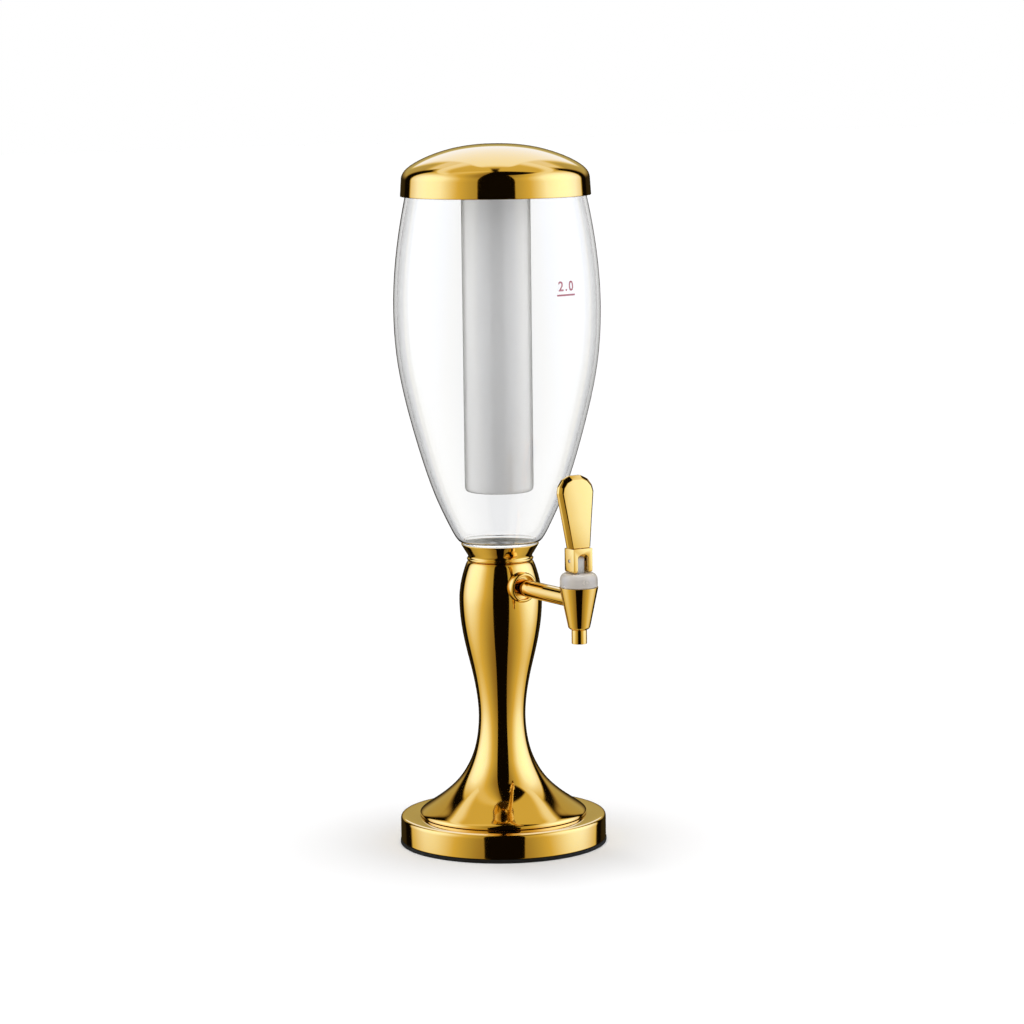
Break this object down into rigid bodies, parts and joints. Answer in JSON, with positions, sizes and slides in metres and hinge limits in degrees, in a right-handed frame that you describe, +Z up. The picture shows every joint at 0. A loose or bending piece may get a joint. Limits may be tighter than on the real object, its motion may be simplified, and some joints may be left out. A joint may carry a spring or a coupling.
{
  "type": "beer tower dispenser",
  "caption": "Table drink tower: clear vase-shaped tank with an ice tube and domed lid, on a flared gold column and weighted base, with a lever tap at the side.",
  "frame": {"origin": "centre of the face it stands on", "axes": "+Z up along the column, the tap points along -Y, +X to its right seen from the front"},
  "size_m": [0.1558, 0.1991, 0.525],
  "materials": {
    "gold_plating": "mirror gold electroplate on moulded plastic",
    "black_plastic": "moulded, fine satin",
    "black_rubber": "matt",
    "cast_iron": "as cast",
    "steel": "bright stainless",
    "clear_plastic": "clear, polished",
    "bonnet_plastic": "cloudy clear, polished",
    "frosted_plastic": "frosted, translucent",
    "white_plastic": "moulded, satin",
    "silicone": "matt, translucent"
  },
  "bodies": {
    "stand": {"anti_slip_mat": "black_rubber", "base_plate": "black_plastic", "base_weight": "cast_iron", "base_rim": "gold_plating", "base_screw_1": "steel", "base_screw_2": "steel", "base_screw_3": "steel", "base_screw_4": "steel", "column": "gold_plating", "collar": "gold_plating", "tank_seal": "silicone", "tank_nut": "white_plastic", "tank": "clear_plastic", "outlet_seal": "silicone", "outlet_fitting": "steel", "outlet_elbow": "white_plastic", "shank": "gold_plating", "shank_flange": "gold_plating", "shank_saddle": "silicone", "shank_locknut": "steel", "tap_body": "gold_plating", "tap_nozzle": "gold_plating", "tap_bonnet": "bonnet_plastic", "stem_seal": "silicone"},
    "stem": {"valve_stem": "white_plastic", "seat_cup": "silicone", "lever_pin": "steel", "valve_spring": "steel"},
    "lever": {"lever_yoke": "gold_plating", "handle_stud": "steel", "lever_paddle": "gold_plating"},
    "lid": {"lid": "gold_plating", "lid_insert": "white_plastic", "lid_seal": "silicone"},
    "ice_tube": {"ice_tube": "frosted_plastic", "ice_tube_seal": "silicone"}
  },
  "joints": [
    {"name": "stem_lift", "type": "slide", "parent": "stand", "child": "stem", "axis": [0, 0, 1], "range_m": [0, 0.0026], "deforming": ["valve_spring"]},
    {"name": "lever_tilt", "type": "hinge", "parent": "stem", "child": "lever", "pos_m": [0, -0.107, 0.227], "axis": [1, 0, 0], "range_deg": [0, 35], "stiffness_Nm_per_rad": 0.0155, "springref_deg": -27.5},
    {"name": "lid_lift", "type": "slide", "parent": "stand", "child": "lid", "axis": [0, 0, 1], "range_m": [0, 0.25]},
    {"name": "ice_tube_turn", "type": "hinge", "parent": "lid", "child": "ice_tube", "pos_m": [0, 0, 0.4915], "axis": [0, 0, 1], "range_deg": [0, 90]}
  ],
  "couplings": [
    {"joint": "stem_lift", "follows": "lever_tilt", "m_per_rad": 0.00415}
  ]
}
